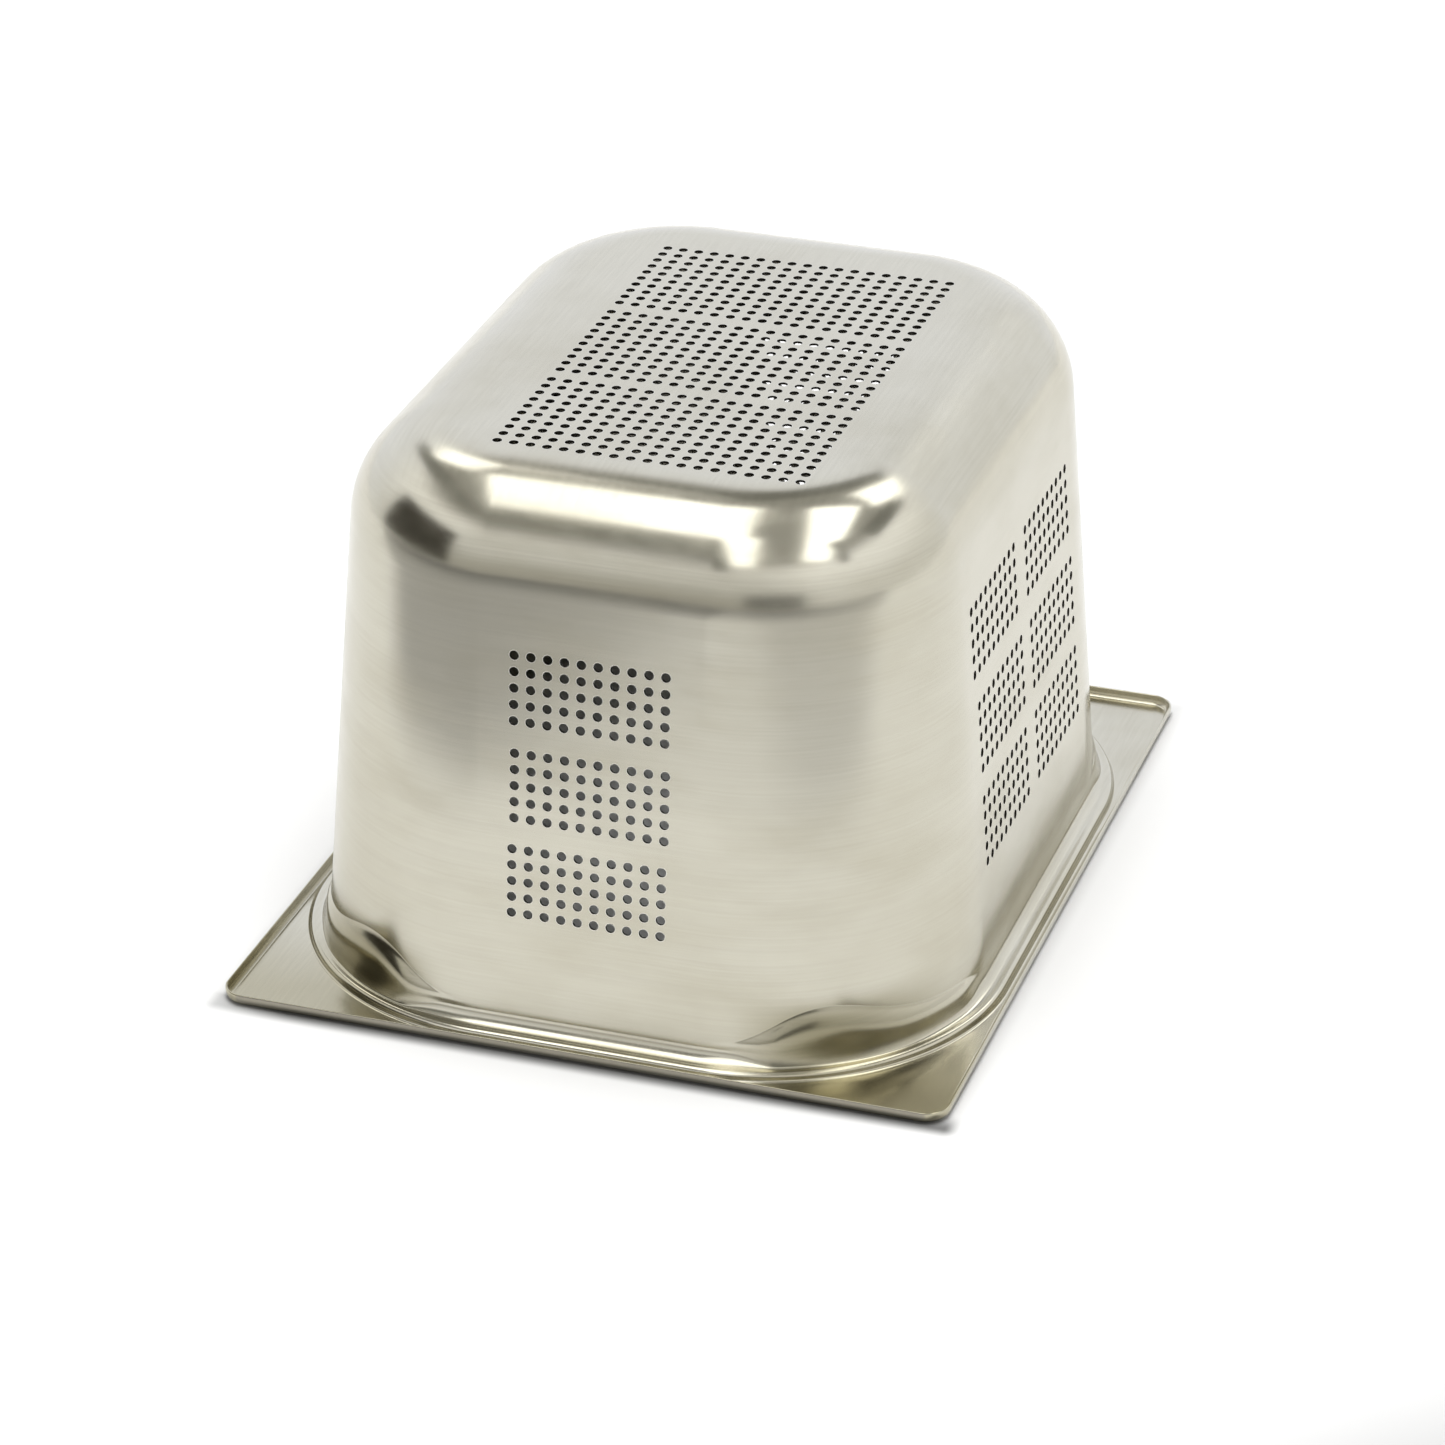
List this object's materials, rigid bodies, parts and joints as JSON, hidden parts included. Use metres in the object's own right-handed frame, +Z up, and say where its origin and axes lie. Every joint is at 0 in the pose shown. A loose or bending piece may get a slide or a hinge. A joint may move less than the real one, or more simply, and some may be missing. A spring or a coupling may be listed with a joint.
{
  "type": "cheese mold",
  "caption": "Deep rectangular draining mold pressed from satin stainless sheet, with perforated base and walls, stacking shoulders and a flat rim.",
  "frame": {"origin": "middle of the rim's resting face, which lies on the table when the mold stands upside down", "axes": "+Z up from the rim to the perforated base, X across the short side, Y along the long side; the opening faces -Z"},
  "size_m": [0.265, 0.325, 0.2],
  "materials": {
    "satin_steel": "satin"
  },
  "bodies": {
    "root": {"base_panel": "satin_steel", "base_radius": "satin_steel", "front_wall": "satin_steel", "rear_wall": "satin_steel", "left_wall": "satin_steel", "right_wall": "satin_steel", "corner_front_left": "satin_steel", "corner_front_right": "satin_steel", "corner_rear_left": "satin_steel", "corner_rear_right": "satin_steel", "shoulder_front_left": "satin_steel", "shoulder_front_right": "satin_steel", "shoulder_rear_left": "satin_steel", "shoulder_rear_right": "satin_steel", "mouth_roll": "satin_steel", "rim_web": "satin_steel", "rim_lip": "satin_steel"}
  },
  "joints": []
}
